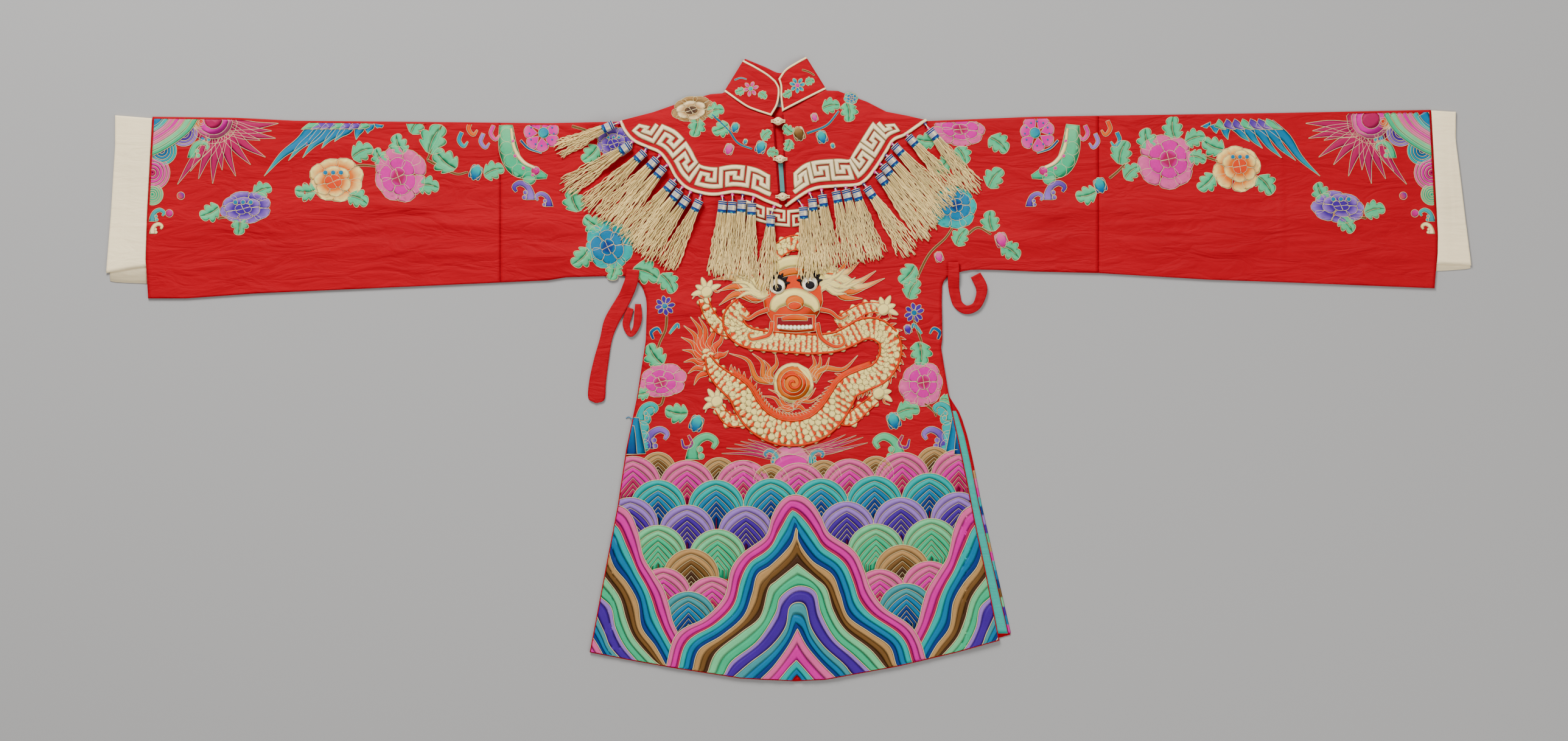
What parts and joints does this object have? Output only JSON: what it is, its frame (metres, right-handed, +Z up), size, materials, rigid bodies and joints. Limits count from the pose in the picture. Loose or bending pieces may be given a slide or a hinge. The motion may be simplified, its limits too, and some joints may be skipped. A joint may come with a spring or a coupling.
{
  "type": "ceremonial robe",
  "caption": "Embroidered silk robe laid flat, with long sleeves, cream cuffs, a cloud-shaped cape with tassels and a stand collar.",
  "frame": {"origin": "centre of the bounding box at the surface that the robe lies on", "axes": "+X along the sleeves, +Y from hem to collar, +Z up from the surface, towards the robe's face"},
  "size_m": [2.0173, 0.9236, 0.0181],
  "materials": {
    "red_silk": "satin silk with silk embroidery",
    "cream_cotton": "thin plain-weave cotton",
    "cream_binding": "matt bias binding",
    "couched_cord": "padded couched thread",
    "turquoise_silk": "thin plain silk",
    "tassel_thread": "twisted floss and bound thread"
  },
  "bodies": {
    "root": {"body_front": "red_silk", "body_back": "red_silk", "sleeve_left": "red_silk", "sleeve_right": "red_silk", "cape_left": "red_silk", "cape_right": "red_silk", "cape_back": "red_silk", "collar_left": "red_silk", "collar_right": "red_silk", "collar_back": "red_silk", "tie_left": "red_silk", "tie_left_loop": "red_silk", "tie_right": "red_silk", "cuff_left": "cream_cotton", "cuff_right": "cream_cotton", "cape_binding_left": "cream_binding", "cape_binding_right": "cream_binding", "collar_binding_left": "cream_binding", "collar_binding_right": "cream_binding", "ball_button_1": "cream_binding", "ball_button_2": "cream_binding", "ball_button_3": "cream_binding", "key_border_left": "couched_cord", "key_border_right": "couched_cord", "neck_band": "couched_cord", "slit_facing": "turquoise_silk", "placket": "turquoise_silk", "tassel_01": "tassel_thread", "tassel_02": "tassel_thread", "tassel_03": "tassel_thread", "tassel_04": "tassel_thread", "tassel_05": "tassel_thread", "tassel_06": "tassel_thread", "tassel_07": "tassel_thread", "tassel_08": "tassel_thread", "tassel_09": "tassel_thread", "tassel_10": "tassel_thread", "tassel_11": "tassel_thread", "tassel_12": "tassel_thread", "tassel_13": "tassel_thread", "tassel_14": "tassel_thread", "tassel_15": "tassel_thread", "tassel_16": "tassel_thread", "tassel_17": "tassel_thread", "tassel_18": "tassel_thread", "tassel_19": "tassel_thread", "tassel_20": "tassel_thread", "tassel_21": "tassel_thread", "tassel_22": "tassel_thread", "tassel_23": "tassel_thread", "tassel_24": "tassel_thread", "tassel_25": "tassel_thread", "tassel_26": "tassel_thread", "tassel_27": "tassel_thread"}
  },
  "joints": []
}
